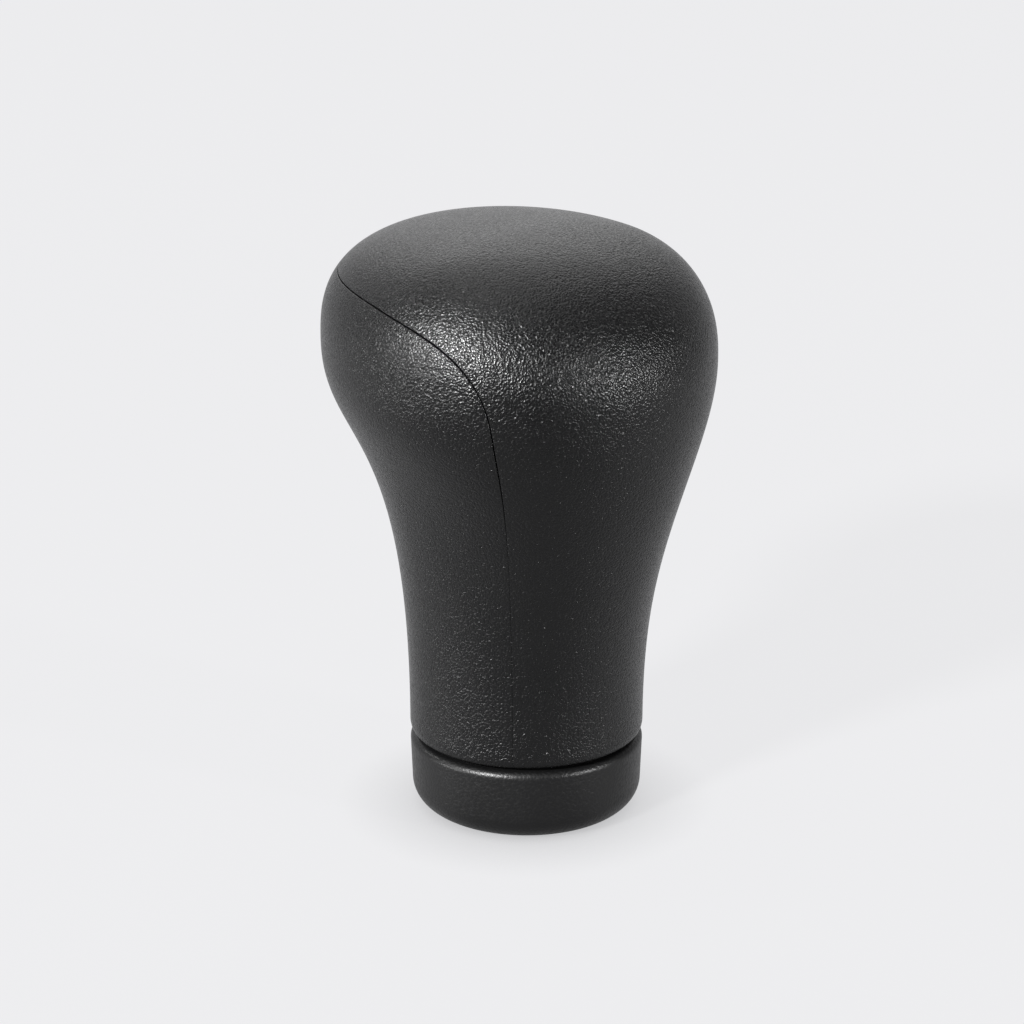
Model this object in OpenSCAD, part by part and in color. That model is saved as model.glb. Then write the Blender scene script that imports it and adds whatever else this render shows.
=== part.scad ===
// Gear shift knob: two moulded shells over a ribbed core, with a quarter-turn locking collar under the neck.
// Sizes are in millimetres. Z runs up the lever's axis from the foot, and the crown's tongue faces -Y.

/* [Head outline] */
// Height of the knob from its foot to its crown
knob_h = 79.7; // [77:0.1:84]
// Half width of the head at the sides
side_r = 24.9; // [23:0.1:27]
// Drop from the crown to the widest point of the sides
side_drop = 16.7; // [15:0.1:18.5]
// Squareness of the shoulder at the sides, 2 gives an ellipse
side_square = 2.7; // [2:0.1:3.2]
// Length over which the line of the sides still follows the neck
side_neck_pull = 40; // [34:0.5:44]
// Length over which the line of the sides follows the widest point
side_head_pull = 11; // [8:0.5:14]
// Reach of the head to the front
front_r = 24.6; // [23:0.1:27]
// Drop from the crown to the furthest point of the front
front_drop = 17.6; // [15.5:0.1:19.5]
// Squareness of the shoulder at the front
front_square = 2; // [1.9:0.1:3]
// Length over which the front line still follows the neck
front_neck_pull = 19.5; // [15:0.5:26]
// Length over which the front line follows its furthest point
front_head_pull = 14; // [10:0.5:18]
// Reach of the head to the rear
rear_r = 30.3; // [27:0.1:32]
// Drop from the crown to the furthest point of the rear
rear_drop = 13.9; // [12.5:0.1:16]
// Squareness of the shoulder at the rear
rear_square = 2.5; // [2:0.1:3]
// Length over which the rear line still follows the neck
rear_neck_pull = 51.5; // [44:0.5:54]
// Length over which the rear line follows its furthest point
rear_head_pull = 18; // [14:0.5:21]

/* [Neck and shells] */
// Outer radius of the neck at its lower end
neck_r = 15.6; // [15.2:0.1:16.4]
// Width of the round at the neck's lower edge
neck_round = 0.6; // [0.3:0.1:0.8]
// Wall of the two shells
shell_wall = 2.4; // [2:0.1:2.8]
// Thickness of the ribs inside the shells
shell_rib = 1.6; // [1.2:0.1:2]
// Height of the gussets under the ledge that carries the core
gusset_h = 15; // [10:0.5:18]
// Distance that the gussets' inner edge leans out towards its foot
gusset_lean = 4; // [3:0.5:6]
// Depth of the stiffening ribs under the crown
crown_rib_depth = 4; // [3:0.5:5]

/* [Parting line] */
// Gap between the two shells
seam_gap = 0.1; // [0.1:0.05:0.3]
// Angle of the neck that the crown's tongue covers
tongue_angle = 88; // [82:1:94]
// How far the parting line swings forward of the lever's axis
seam_reach = 16.6; // [15.8:0.1:17.6]
// Drop from the crown to where the parting line is furthest forward
seam_turn_drop = 20.5; // [19:0.1:23]
// Drop from the crown to the parting line's rear end
seam_level_drop = 7.1; // [6.2:0.1:8.2]
// Distance behind the lever's axis at which the parting line comes level
seam_level_y = 26.4; // [24:0.1:27]
// Length over which the parting line rises straight from the neck's foot
seam_foot_pull = 28.7; // [24:0.1:32]
// Length over which it rises straight into its furthest forward point
seam_turn_pull = 12.8; // [10:0.1:15]
// Length over which it leaves that point going straight up
seam_corner_pull = 16.8; // [14:0.1:18]
// Length over which it runs level at its rear end
seam_level_pull = 19.2; // [16:0.1:22]

/* [Lever socket] */
// Radius of the lever that the knob takes
lever_r = 6; // [5:0.1:6.3]
// Depth of the socket from the knob's foot
socket_depth = 52; // [44:1:56]
// Wall of the soft liner
bush_wall = 2.2; // [1.6:0.1:2.3]
// Thickness of the liner's closed end
bush_end = 2; // [1.5:0.1:3]
// Clearance of the liner in the core
bush_clearance = 0.05; // [0.02:0.01:0.1]

/* [Core] */
// Wall of the core's tube round the liner
hub_wall = 2.1; // [1.6:0.1:2.3]
// Thickness of the flange at the foot of the neck
flange_t = 2.4; // [2:0.1:3]
// Distance from the neck's lower edge up to the flange
flange_recess = 0.4; // [0.2:0.1:1]
// Clearance of the core inside the shells
hub_clearance = 0.1; // [0.05:0.01:0.2]
// Number of ribs along the core's tube
hub_ribs = 8; // [4:2:12]
// Thickness of those ribs
hub_rib_t = 1.8; // [1.2:0.1:2.4]
// Radius of the core's top plate
plate_r = 17; // [16:0.1:18]
// Thickness of the top plate
plate_t = 2.4; // [2:0.1:3]
// Drop from the crown to the top plate's upper face
plate_drop = 15; // [13:0.5:17]

/* [Crown pegs] */
// Number of pegs that hold the crown on the plate
peg_count = 4; // [3:1:6]
// Radius of the pegs
peg_r = 1.8; // [1.4:0.1:2.2]
// Radius of the shoulder above each peg
peg_shoulder_r = 2.8; // [2.6:0.1:3.2]
// Radius of the circle that the pegs stand on
peg_circle_r = 13.4; // [13:0.1:13.8]
// Clearance of the pegs in the plate
peg_clearance = 0.05; // [0.02:0.01:0.1]

/* [Collet] */
// Wall of the spring fingers
finger_wall = 1.9; // [1.6:0.1:2.1]
// Width of the slots between the fingers
finger_slot = 1.6; // [1:0.1:2]
// Height of the lobes that the collar squeezes
lobe_h = 3.4; // [2.5:0.1:4]
// Distance from the foot to the lobes
lobe_z = 2.6; // [2.4:0.1:3]
// Distance that the lobes stand out of the fingers
lobe_out = 1.2; // [0.9:0.1:1.4]
// Half angle that each lobe covers
lobe_half_angle = 20; // [14:1:24]
// Radius of the spring wire round the fingers
wire_r = 0.55; // [0.4:0.05:0.6]
// Distance from the foot to the spring wire
wire_z = 1.4; // [1.2:0.1:1.6]
// Opening angle of the spring ring
wire_open = 16; // [10:1:30]

/* [Locking collar] */
// Outer radius of the collar at its top edge
collar_r = 15.6; // [15.3:0.1:16.4]
// Height of the collar
collar_h = 10.2; // [9.8:0.1:10.8]
// Gap between the collar and the neck
neck_gap = 0.6; // [0.4:0.1:1]
// Taper of the collar towards its foot, in degrees
collar_draft = 2.2; // [1:0.1:3]
// Thickness of the collar's floor
collar_floor = 2.2; // [1.8:0.1:2.4]
// Radius of the collar's lower edge
foot_round = 3.6; // [2.4:0.1:3.8]
// Radius of the collar's top edge
edge_round = 1; // [0.5:0.1:1.1]
// Angle that the collar turns from locked to open
collar_turn = 90; // [80:1:100]
// Room that the open collar leaves beside each lobe
cam_lift = 0.9; // [0.6:0.1:1]
// Clearance between the turning surfaces
turn_clearance = 0.1; // [0.05:0.01:0.15]

/* [Snap joint] */
// Number of snap hooks that hold the collar
hook_count = 4; // [2:1:4]
// Half angle that each hook covers
hook_half_angle = 14; // [10:1:18]
// Thickness of the hooks' arms
hook_t = 1; // [0.8:0.1:1.1]
// Distance that each barb reaches under the collar's rib
hook_bite = 0.4; // [0.3:0.1:0.5]
// Radial clearance of the barbs inside the collar
barb_clearance = 0.4; // [0.3:0.05:0.5]
// Height of the barbs
barb_h = 1.3; // [1:0.1:1.6]
// Height of the collar's inner rib
snap_rib_h = 1.1; // [0.9:0.1:1.3]
// Distance from the collar's top edge down to its inner rib
snap_rib_drop = 1.7; // [1.5:0.1:2]
// Radial clearance of the hooks' arms on both sides
hook_clearance = 0.2; // [0.15:0.05:0.25]
// Half angle of the stop lug
stop_half_angle = 6; // [5:1:10]
// Angular clearance of the stop lug at each end of its travel
stop_clearance = 1.2; // [0.8:0.1:2]

/* [Hidden] */
$fn = 96;

charcoal = [0.15, 0.15, 0.155];
core_grey = [0.3, 0.3, 0.31];
rubber_black = [0.07, 0.07, 0.07];
spring_steel = [0.66, 0.67, 0.7];

// Small overlap that lets a cut pass a face
past = 1;
// Rings and sides of the smooth outer and inner surfaces
outer_rings = [20, 16];
outer_sides = 60;
inner_rings = [12, 8];
inner_sides = 36;
// Steps along each curve of the parting line
seam_steps = 14;
// Steps along the collar's lower and upper rounds
collar_steps = [12, 5];
// Directions of the two cuts that part the fingers
slot_turns = [45, 135];
// How much smaller the circles of the cam's pockets are than that of its lands
pocket_inset = 0.3;

neck_z = collar_h + neck_gap;
neck_round_h = 2 * neck_round;
bore_wall_r = neck_r - shell_wall;
core_r = bore_wall_r - hub_clearance;
head_span = 2 * max(side_r, front_r, rear_r);

plate_z = knob_h - plate_drop;
ledge_z = plate_z - plate_t;
ledge_r = core_r + 2 * hub_clearance;

flange_z = neck_z + flange_recess;
bush_z = flange_z + flange_t / 2;
bush_r = lever_r + bush_wall;
hub_bore_r = bush_r + bush_clearance;
hub_r = hub_bore_r + hub_wall;
finger_r = lever_r + finger_wall;
wire_ring_r = finger_r + wire_r / 3;
slot_top = flange_z - turn_clearance;

lobe_r = finger_r + lobe_out;
cam_land_r = lobe_r + turn_clearance;
cam_pocket_r = lobe_r + cam_lift;
cam_shift = cam_pocket_r - cam_land_r + pocket_inset;

collar_foot_r = collar_r - collar_h * tan(collar_draft);
barb_r = core_r;
collar_bore_r = barb_r + barb_clearance;
snap_rib_r = barb_r - hook_bite;
hook_r = snap_rib_r - hook_clearance;
cam_ring_r = hook_r - hook_t - hook_clearance;
snap_rib_top = collar_h - snap_rib_drop;
snap_rib_z = snap_rib_top - snap_rib_h;
barb_top = snap_rib_z - hook_clearance;
hook_z = barb_top - barb_h;
cam_ring_top = lobe_z + lobe_h;
skirt_z = snap_rib_top + turn_clearance;
skirt_r = cam_ring_r + hook_clearance;
stop_at = 90;

// Point at step t of a cubic curve with the given ends and pulls
function curve(a, b, c, d, t) =
    a * pow(1 - t, 3) + 3 * b * pow(1 - t, 2) * t + 3 * c * (1 - t) * t * t + d * pow(t, 3);

// Direction of the same curve at step t
function curve_way(a, b, c, d, t) =
    (b - a) * pow(1 - t, 2) + 2 * (c - b) * (1 - t) * t + (d - c) * t * t;

// Radius and height of one outline, moved in by inset: t is 1 at the widest point and 2 at the crown
function outline(reach, drop, square, neck_pull, head_pull, inset, t) =
    let (wide_z = knob_h - drop, start_z = neck_z + neck_round_h, a = 90 * (t - 1))
    t < 1
        ? [curve(neck_r, neck_r, reach, reach, t) - inset,
           curve(start_z, start_z + neck_pull, wide_z - head_pull, wide_z, t)]
        : [(reach - inset) * pow(cos(a), 2 / square), wide_z + (drop - inset) * pow(sin(a), 2 / square)];

function side_line(inset, t) =
    outline(side_r, side_drop, side_square, side_neck_pull, side_head_pull, inset, t);
function front_line(inset, t) =
    outline(front_r, front_drop, front_square, front_neck_pull, front_head_pull, inset, t);
function rear_line(inset, t) =
    outline(rear_r, rear_drop, rear_square, rear_neck_pull, rear_head_pull, inset, t);

// One ring of the surface: the side line blends into the front or rear line with the square of the sine
function ring(inset, t, sides) =
    let (side = side_line(inset, t), front = front_line(inset, t), rear = rear_line(inset, t))
    [for (i = [0:sides - 1])
        let (a = 360 * i / sides, end = sin(a) > 0 ? rear : front, w = pow(sin(a), 2))
        [side.x * cos(a), end.x * sin(a), side.y * (1 - w) + end.y * w]];

// Flat ring near the surface's foot
function foot_ring(r, z, sides) =
    [for (i = [0:sides - 1]) [r * cos(360 * i / sides), r * sin(360 * i / sides), z]];

// Radius and height on the round at the neck's lower edge, at angle a from its foot
function neck_edge(a) = [neck_r - neck_round * (1 - sin(a)), neck_z + neck_round_h * (1 - cos(a))];

// Closed body over the given feet, each a radius and a height, up to the crown
module lofted_form(inset, feet, rings, sides) {
    steps = concat([for (i = [0:rings[0] - 1]) i / rings[0]], [for (i = [0:rings[1] - 1]) 1 + i / rings[1]]);
    levels = len(steps) + len(feet);
    points = concat(
        [for (foot = feet) each foot_ring(foot[0], foot[1], sides)],
        [for (t = steps) each ring(inset, t, sides)],
        [[0, 0, knob_h - inset]]);
    walls = [for (k = [0:levels - 2], i = [0:sides - 1])
        let (j = (i + 1) % sides, low = k * sides, high = low + sides)
        each [[low + i, high + i, high + j], [low + i, high + j, low + j]]];
    crown = [for (i = [0:sides - 1])
        let (j = (i + 1) % sides, low = (levels - 1) * sides)
        [low + i, levels * sides, low + j]];
    polyhedron(points, concat([[for (i = [0:sides - 1]) i]], walls, crown), convexity = 6);
}

module outer_form() {
    lofted_form(0, [neck_edge(0), neck_edge(45)], outer_rings, outer_sides);
}

module inner_form() {
    lofted_form(shell_wall, [[bore_wall_r, neck_z - past]], inner_rings, inner_sides);
}

// Parting line in the side view, moved by shift towards the crown's side, from the neck's foot to the rear
function seam_part(a, b, c, d, shift) =
    [for (i = [0:seam_steps])
        let (t = i / seam_steps, way = curve_way(a, b, c, d, t), across = [-way.y, way.x] / norm(way))
        curve(a, b, c, d, t) + shift * across];

function seam_line(shift) =
    let (foot = [-neck_r * cos(tongue_angle / 2), neck_z],
         turn = [-seam_reach, knob_h - seam_turn_drop],
         level = [seam_level_y, knob_h - seam_level_drop],
         rise = seam_part(foot, foot + [0, seam_foot_pull], turn - [0, seam_turn_pull], turn, shift),
         sweep = seam_part(turn, turn + [0, seam_corner_pull], level - [seam_level_pull, 0], level, shift))
    concat([[foot.x - shift, 0]], [for (i = [0:seam_steps - 1]) rise[i]], sweep,
        [[head_span, level.y + shift]]);

// Everything in front of and above the parting line, across the whole width
module crown_zone() {
    rotate([90, 0, 90])
        linear_extrude(height = head_span, center = true)
            polygon(concat(seam_line(seam_gap / 2),
                [[head_span, knob_h + past], [-head_span, knob_h + past], [-head_span, 0]]));
}

// Everything behind and below the parting line
module grip_zone() {
    rotate([90, 0, 90])
        linear_extrude(height = head_span, center = true)
            polygon(concat(seam_line(-seam_gap / 2), [[head_span, 0]]));
}

// Part of a round wall between two radii, two heights and two angles
module wall_sector(r_in, r_out, z_low, z_high, from, to) {
    translate([0, 0, z_low])
        rotate([0, 0, from])
            rotate_extrude(angle = to - from)
                translate([r_in, 0])
                    square([r_out - r_in, z_high - z_low]);
}

// Radial plates from one radius outwards, spread evenly
module radial_plates(count, r_in, r_out, z_low, z_high, thick) {
    for (i = [0:count - 1])
        rotate([0, 0, 360 * i / count])
            translate([r_in, -thick / 2, z_low])
                cube([r_out - r_in, thick, z_high - z_low]);
}

// Ledge under the core's plate, with gussets down to the wall
module grip_ribs() {
    wall_sector(ledge_r, head_span / 2, ledge_z - shell_rib, ledge_z, 0, 360);
    for (i = [0:hub_ribs - 1])
        rotate([90, 0, 360 * i / hub_ribs])
            linear_extrude(height = shell_rib, center = true)
                polygon([[ledge_r, ledge_z - shell_rib / 2], [head_span / 2, ledge_z - shell_rib / 2],
                    [head_span / 2, ledge_z - gusset_h], [ledge_r + gusset_lean, ledge_z - gusset_h]]);
}

// Crossed stiffening ribs under the crown
module crown_ribs() {
    radial_plates(peg_count, 0, head_span / 2, knob_h - shell_wall - crown_rib_depth, knob_h, shell_rib);
}

// Stepped pegs from the underside of the crown into the core's plate
module crown_pegs() {
    for (i = [0:peg_count - 1])
        rotate([0, 0, 360 * (i + 0.5) / peg_count]) {
            translate([peg_circle_r, 0, ledge_z])
                cylinder(r = peg_r, h = knob_h - ledge_z);
            translate([peg_circle_r, 0, plate_z])
                cylinder(r = peg_shoulder_r, h = knob_h - plate_z);
        }
}

module crown_shell() {
    color(charcoal) {
        difference() {
            intersection() {
                outer_form();
                crown_zone();
            }
            difference() {
                inner_form();
                crown_ribs();
            }
        }
        intersection() {
            inner_form();
            crown_pegs();
        }
    }
}

module grip_shell() {
    color(charcoal)
        difference() {
            intersection() {
                outer_form();
                grip_zone();
            }
            difference() {
                inner_form();
                grip_ribs();
            }
        }
}

// Lobes on two opposite fingers, where the collar's lands press
module finger_lobes() {
    for (a = [0, 180])
        wall_sector(finger_r - finger_wall / 2, lobe_r, lobe_z, lobe_z + lobe_h,
            a - lobe_half_angle, a + lobe_half_angle);
}

// Hooks that hang from the skirt, with barbs under the collar's rib
module snap_hooks() {
    for (i = [0:hook_count - 1])
        let (a = 360 * (i + 0.5) / hook_count) {
            wall_sector(hook_r - hook_t, hook_r, hook_z, flange_z,
                a - hook_half_angle, a + hook_half_angle);
            wall_sector(hook_r - hook_t, barb_r, hook_z, barb_top,
                a - hook_half_angle, a + hook_half_angle);
        }
}

module stop_lug() {
    wall_sector(hook_r - hook_t, barb_r, snap_rib_z, flange_z,
        stop_at - stop_half_angle, stop_at + stop_half_angle);
}

module core_hub() {
    color(core_grey)
        difference() {
            union() {
                cylinder(r = finger_r, h = flange_z + past);
                finger_lobes();
                wall_sector(skirt_r, core_r, skirt_z, flange_z + past, 0, 360);
                snap_hooks();
                stop_lug();
                translate([0, 0, flange_z])
                    cylinder(r = core_r, h = flange_t);
                translate([0, 0, flange_z])
                    cylinder(r = hub_r, h = plate_z - flange_z);
                radial_plates(hub_ribs, (bush_r + hub_r) / 2, core_r, flange_z, ledge_z + plate_t / 2, hub_rib_t);
                translate([0, 0, ledge_z])
                    cylinder(r = plate_r, h = plate_t);
            }
            translate([0, 0, -past])
                cylinder(r = lever_r, h = flange_z + flange_t + past);
            translate([0, 0, bush_z])
                cylinder(r = hub_bore_r, h = knob_h);
            for (a = slot_turns)
                rotate([0, 0, a])
                    translate([-finger_r - past, -finger_slot / 2, -past])
                        cube([2 * (finger_r + past), finger_slot, slot_top + past]);
            rotate_extrude()
                translate([wire_ring_r, wire_z])
                    circle(r = wire_r + bush_clearance);
            for (i = [0:peg_count - 1])
                rotate([0, 0, 360 * (i + 0.5) / peg_count])
                    translate([peg_circle_r, 0, ledge_z - past])
                        cylinder(r = peg_r + peg_clearance, h = plate_t + 2 * past);
        }
}

module lever_bush() {
    color(rubber_black)
        difference() {
            translate([0, 0, bush_z])
                cylinder(r = bush_r, h = socket_depth + bush_end - bush_z);
            translate([0, 0, bush_z - past])
                cylinder(r = lever_r, h = socket_depth - bush_z + past);
        }
}

module finger_spring() {
    color(spring_steel)
        rotate([0, 0, wire_open / 2 - 90])
            rotate_extrude(angle = 360 - wire_open)
                translate([wire_ring_r, wire_z])
                    circle(r = wire_r);
}

// Points along an arc
function arc(centre, r, from, to, steps) =
    [for (i = [0:steps]) let (a = from + (to - from) * i / steps) centre + r * [cos(a), sin(a)]];

// Centre of a round edge of radius r at height z that touches the collar's drafted side
function beside_draft(r, z) = [collar_foot_r + z * tan(collar_draft) - r / cos(collar_draft), z];

// Half section of the collar: a drafted side with a round at each end, and the cam ring inside
module collar_section() {
    polygon(concat(
        [[cam_land_r / 2, 0]],
        arc(beside_draft(foot_round, foot_round), foot_round, -90, -collar_draft, collar_steps[0]),
        arc(beside_draft(edge_round, collar_h - edge_round), edge_round, -collar_draft, 90, collar_steps[1]),
        [[collar_bore_r, collar_h], [collar_bore_r, collar_floor], [cam_ring_r, collar_floor],
         [cam_ring_r, cam_ring_top], [cam_land_r / 2, cam_ring_top]]));
}

// Hole whose lands press the lobes when locked, and whose pockets free them a quarter turn on
module cam_hole() {
    linear_extrude(height = cam_ring_top + 2 * past)
        union() {
            circle(r = cam_land_r);
            for (side = [-1, 1])
                translate([0, side * cam_shift])
                    circle(r = cam_pocket_r - cam_shift);
        }
}

module locking_collar() {
    color(charcoal)
        union() {
            difference() {
                rotate_extrude()
                    collar_section();
                translate([0, 0, -past])
                    cam_hole();
            }
            wall_sector(snap_rib_r, (collar_bore_r + collar_foot_r) / 2, snap_rib_z, snap_rib_top,
                stop_at + stop_half_angle + stop_clearance,
                stop_at + 360 - collar_turn - stop_half_angle - stop_clearance);
        }
}

crown_shell();
grip_shell();
core_hub();
lever_bush();
finger_spring();
locking_collar();
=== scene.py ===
"""Gear shift knob in grained black plastic: two moulded shells, a locking collar and the core behind them."""
import logging
from dataclasses import dataclass, field
from enum import Enum

import bmesh
import bpy
import numpy as np
from mathutils import Matrix, Vector
from numpy.typing import NDArray


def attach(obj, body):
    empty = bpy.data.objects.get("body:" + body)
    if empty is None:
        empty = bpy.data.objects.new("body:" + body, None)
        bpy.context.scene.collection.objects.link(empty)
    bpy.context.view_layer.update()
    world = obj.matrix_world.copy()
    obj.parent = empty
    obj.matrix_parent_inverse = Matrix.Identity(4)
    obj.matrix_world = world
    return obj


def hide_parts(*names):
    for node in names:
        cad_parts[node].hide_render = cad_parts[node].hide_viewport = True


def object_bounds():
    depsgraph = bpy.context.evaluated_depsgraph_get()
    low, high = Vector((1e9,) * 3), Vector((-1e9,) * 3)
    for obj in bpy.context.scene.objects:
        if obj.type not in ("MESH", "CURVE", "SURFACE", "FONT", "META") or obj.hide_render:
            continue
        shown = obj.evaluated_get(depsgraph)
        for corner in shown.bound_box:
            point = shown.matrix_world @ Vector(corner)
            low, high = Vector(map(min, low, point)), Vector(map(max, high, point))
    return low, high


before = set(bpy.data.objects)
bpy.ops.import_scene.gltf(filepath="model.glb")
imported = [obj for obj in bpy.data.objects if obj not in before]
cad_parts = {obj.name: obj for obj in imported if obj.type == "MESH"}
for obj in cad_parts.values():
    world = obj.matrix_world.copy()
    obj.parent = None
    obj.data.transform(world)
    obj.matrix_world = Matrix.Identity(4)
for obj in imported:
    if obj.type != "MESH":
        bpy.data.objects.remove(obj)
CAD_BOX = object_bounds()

Array = NDArray[np.float64]
LOG = logging.getLogger("knob")
MM = 0.001
# Distance in metres at which two corners become one, and length of an edge that counts as none
MERGE = 1e-7
NO_EDGE = 1e-8
# Smallest radius in millimetres, and smallest cross product, that is divided by
SMALL_RADIUS = 1e-9
SMALL_CROSS = 1e-12


class Body(Enum):
    """The two bodies that the pieces ride on."""

    KNOB = "knob"
    COLLAR = "collar"


def cubic(a: float, b: float, c: float, d: float, t: Array) -> Array:
    """Cubic curve value: the four values weighted by the Bernstein polynomials of t.

    Args:
        a: value at the start.
        b: value that the curve leaves the start towards.
        c: value that it comes to the end from.
        d: value at the end.
        t: steps from 0 to 1.

    Returns:
        One value for each step.
    """
    return a * (1 - t) ** 3 + 3 * b * (1 - t) ** 2 * t + 3 * c * (1 - t) * t**2 + d * t**3


def walk(line: Array, share: Array) -> Array:
    """Points along a polyline at the given shares of its length.

    Args:
        line: corners of the polyline, one a row.
        share: shares of the length, from 0 to 1.

    Returns:
        One point for each share.
    """
    length = np.concatenate([[0.0], np.cumsum(np.linalg.norm(np.diff(line, axis=0), axis=1))])
    return np.stack([np.interp(share * length[-1], length, line[:, k]) for k in range(line.shape[1])], axis=1)


def make_object(name: str, points: Array, faces: list[tuple[int, ...]], sharp_deg: float
                ) -> bpy.types.Object:
    """Builds a closed mesh object in metres from points in millimetres, with outward normals.

    Args:
        name: name of the object.
        points: corners in millimetres, one a row.
        faces: corner numbers of each face.
        sharp_deg: edges that bend by more than this angle stay sharp.

    Returns:
        The linked object, at the origin and unturned.
    """
    mesh = bpy.data.meshes.new(name)
    mesh.from_pydata((points * MM).tolist(), [], faces)
    work = bmesh.new()
    work.from_mesh(mesh)
    bmesh.ops.remove_doubles(work, verts=work.verts, dist=MERGE)
    bmesh.ops.dissolve_degenerate(work, edges=work.edges, dist=NO_EDGE)
    bmesh.ops.recalc_face_normals(work, faces=work.faces)
    work.to_mesh(mesh)
    work.free()
    mesh.shade_smooth()
    mesh.set_sharp_from_angle(angle=np.radians(sharp_deg))
    piece = bpy.data.objects.new(name, mesh)
    bpy.context.scene.collection.objects.link(piece)
    return piece


def ring_faces(rows: int, ring: int) -> list[tuple[int, ...]]:
    """Quads between the rows of a grid whose columns close into a ring.

    Args:
        rows: number of rows.
        ring: points in each row.

    Returns:
        The corner numbers of each quad.
    """
    i, j = np.meshgrid(np.arange(rows - 1), np.arange(ring), indexing="ij")
    k = (j + 1) % ring
    quads = np.stack([i * ring + j, i * ring + k, (i + 1) * ring + k, (i + 1) * ring + j], axis=-1)
    return [tuple(q) for q in quads.reshape(-1, 4).tolist()]


@dataclass(frozen=True)
class Neck:
    """Lower end of the shells, in millimetres."""

    radius: float = 15.6
    low: float = 10.8
    round_width: float = 0.6
    round_height: float = 1.2

    @property
    def start(self) -> float:
        """Height at which the round ends and the outlines start.

        Returns:
            The height in millimetres.
        """
        return self.low + self.round_height

    def narrowing(self, z: Array) -> Array:
        """Share of the radius that the quarter ellipse at the lower edge leaves at a height.

        Args:
            z: heights above the foot.

        Returns:
            One share for each height, 1 above the round.
        """
        drop = np.clip((self.start - z) / self.round_height, 0, 1)
        return 1 - self.round_width * (1 - np.sqrt(1 - drop**2)) / self.radius


@dataclass(frozen=True)
class Outline:
    """One outline of the form: a cubic curve from the neck to the widest point, then a squared ellipse."""

    reach: float
    drop: float
    square: float
    neck_pull: float
    head_pull: float

    def at(self, t: Array, neck: Neck, top: float) -> tuple[Array, Array]:
        """Radius and height at a step of the outline.

        Args:
            t: steps, 0 at the neck, 1 at the widest point and 2 at the crown.
            neck: lower end of the form.
            top: height of the crown.

        Returns:
            Radii and heights, one of each for every step.
        """
        wide = top - self.drop
        low = np.clip(t, 0, 1)
        turn = np.clip(t - 1, 0, 1) * np.pi / 2
        r_low = cubic(neck.radius, neck.radius, self.reach, self.reach, low)
        z_low = cubic(neck.start, neck.start + self.neck_pull, wide - self.head_pull, wide, low)
        r_up = self.reach * np.abs(np.cos(turn)) ** (2 / self.square)
        z_up = wide + self.drop * np.sin(turn) ** (2 / self.square)
        return np.where(t < 1, r_low, r_up), np.where(t < 1, z_low, z_up)

    def reach_at(self, z: float, top: float) -> float:
        """Radius of the squared ellipse at a height above the widest point.

        Args:
            z: height above the foot.
            top: height of the crown.

        Returns:
            The radius.
        """
        share = (z - top + self.drop) / self.drop
        return self.reach * (1 - share**self.square) ** (1 / self.square)


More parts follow.
